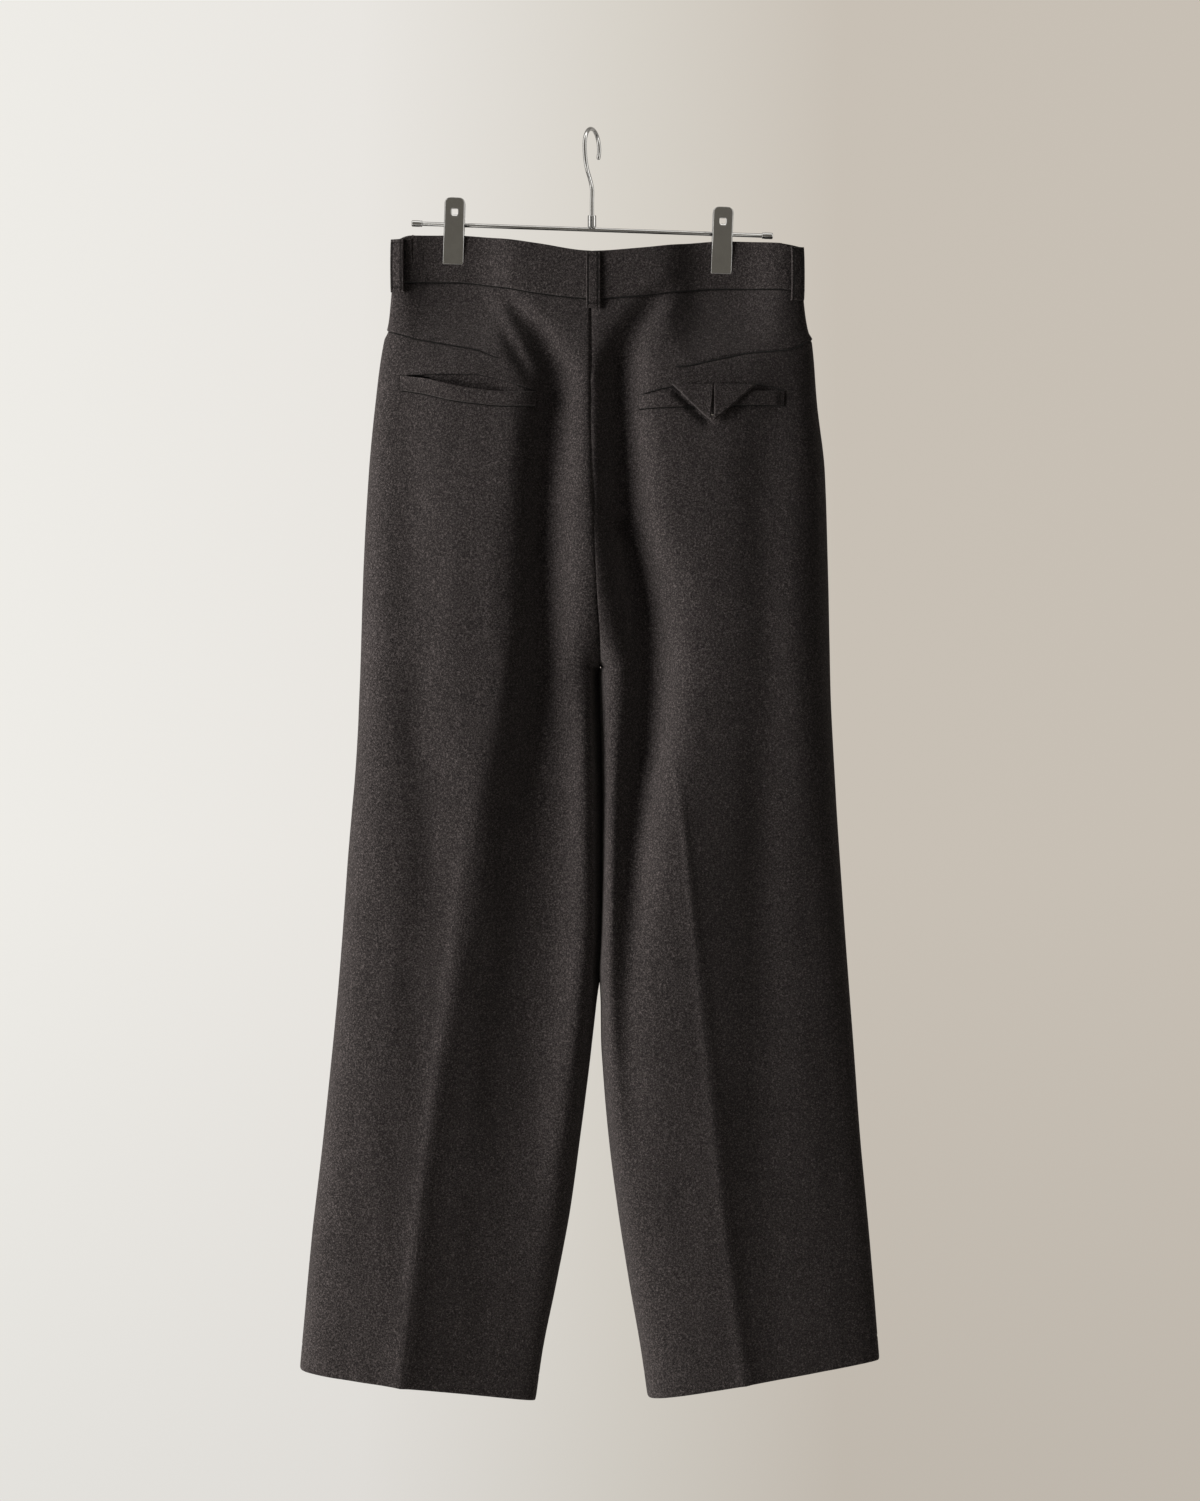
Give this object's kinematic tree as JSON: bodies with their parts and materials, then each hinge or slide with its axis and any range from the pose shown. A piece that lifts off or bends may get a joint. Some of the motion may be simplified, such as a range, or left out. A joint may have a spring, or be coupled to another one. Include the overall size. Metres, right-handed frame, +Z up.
{
  "type": "pleated wide-leg trousers on a clip hanger",
  "caption": "Pleated wide-leg wool trousers with pressed creases, welt back pockets and belt loops, hung by the waistband from a chrome clip hanger.",
  "frame": {"origin": "the inner crown of the hanger's hook, where it rests on a rail", "axes": "+Z up, -Y towards the garment's back, +Y towards its front, -X towards the wearer's left"},
  "size_m": [0.5325, 0.1147, 1.1705],
  "materials": {
    "wool": "matte, napped melton",
    "zip_tape": "matte woven tape",
    "button": "satin",
    "chrome": "polished"
  },
  "bodies": {
    "root": {"back_left": "wool", "back_right": "wool", "front_left": "wool", "front_right": "wool", "waistband_left": "wool", "waistband_right": "wool", "loop_back": "wool", "loop_side_left": "wool", "loop_side_right": "wool", "loop_front_left": "wool", "loop_front_right": "wool", "welt_left": "wool", "pocket_lip_left": "wool", "welt_right": "wool", "flap_right_inner": "wool", "flap_right_outer": "wool", "pocket_edge_left": "wool", "pocket_edge_right": "wool", "fly_placket": "wool", "fly_zip": "zip_tape", "zip_slider": "chrome", "waist_button": "button", "hanger_bar": "chrome", "bar_cap_left": "chrome", "bar_cap_right": "chrome", "ferrule": "chrome", "hook": "chrome", "clip_left_back": "chrome", "clip_left_front": "chrome", "clip_right_back": "chrome", "clip_right_front": "chrome", "clip_spring_left": "chrome", "clip_spring_right": "chrome"}
  },
  "joints": []
}
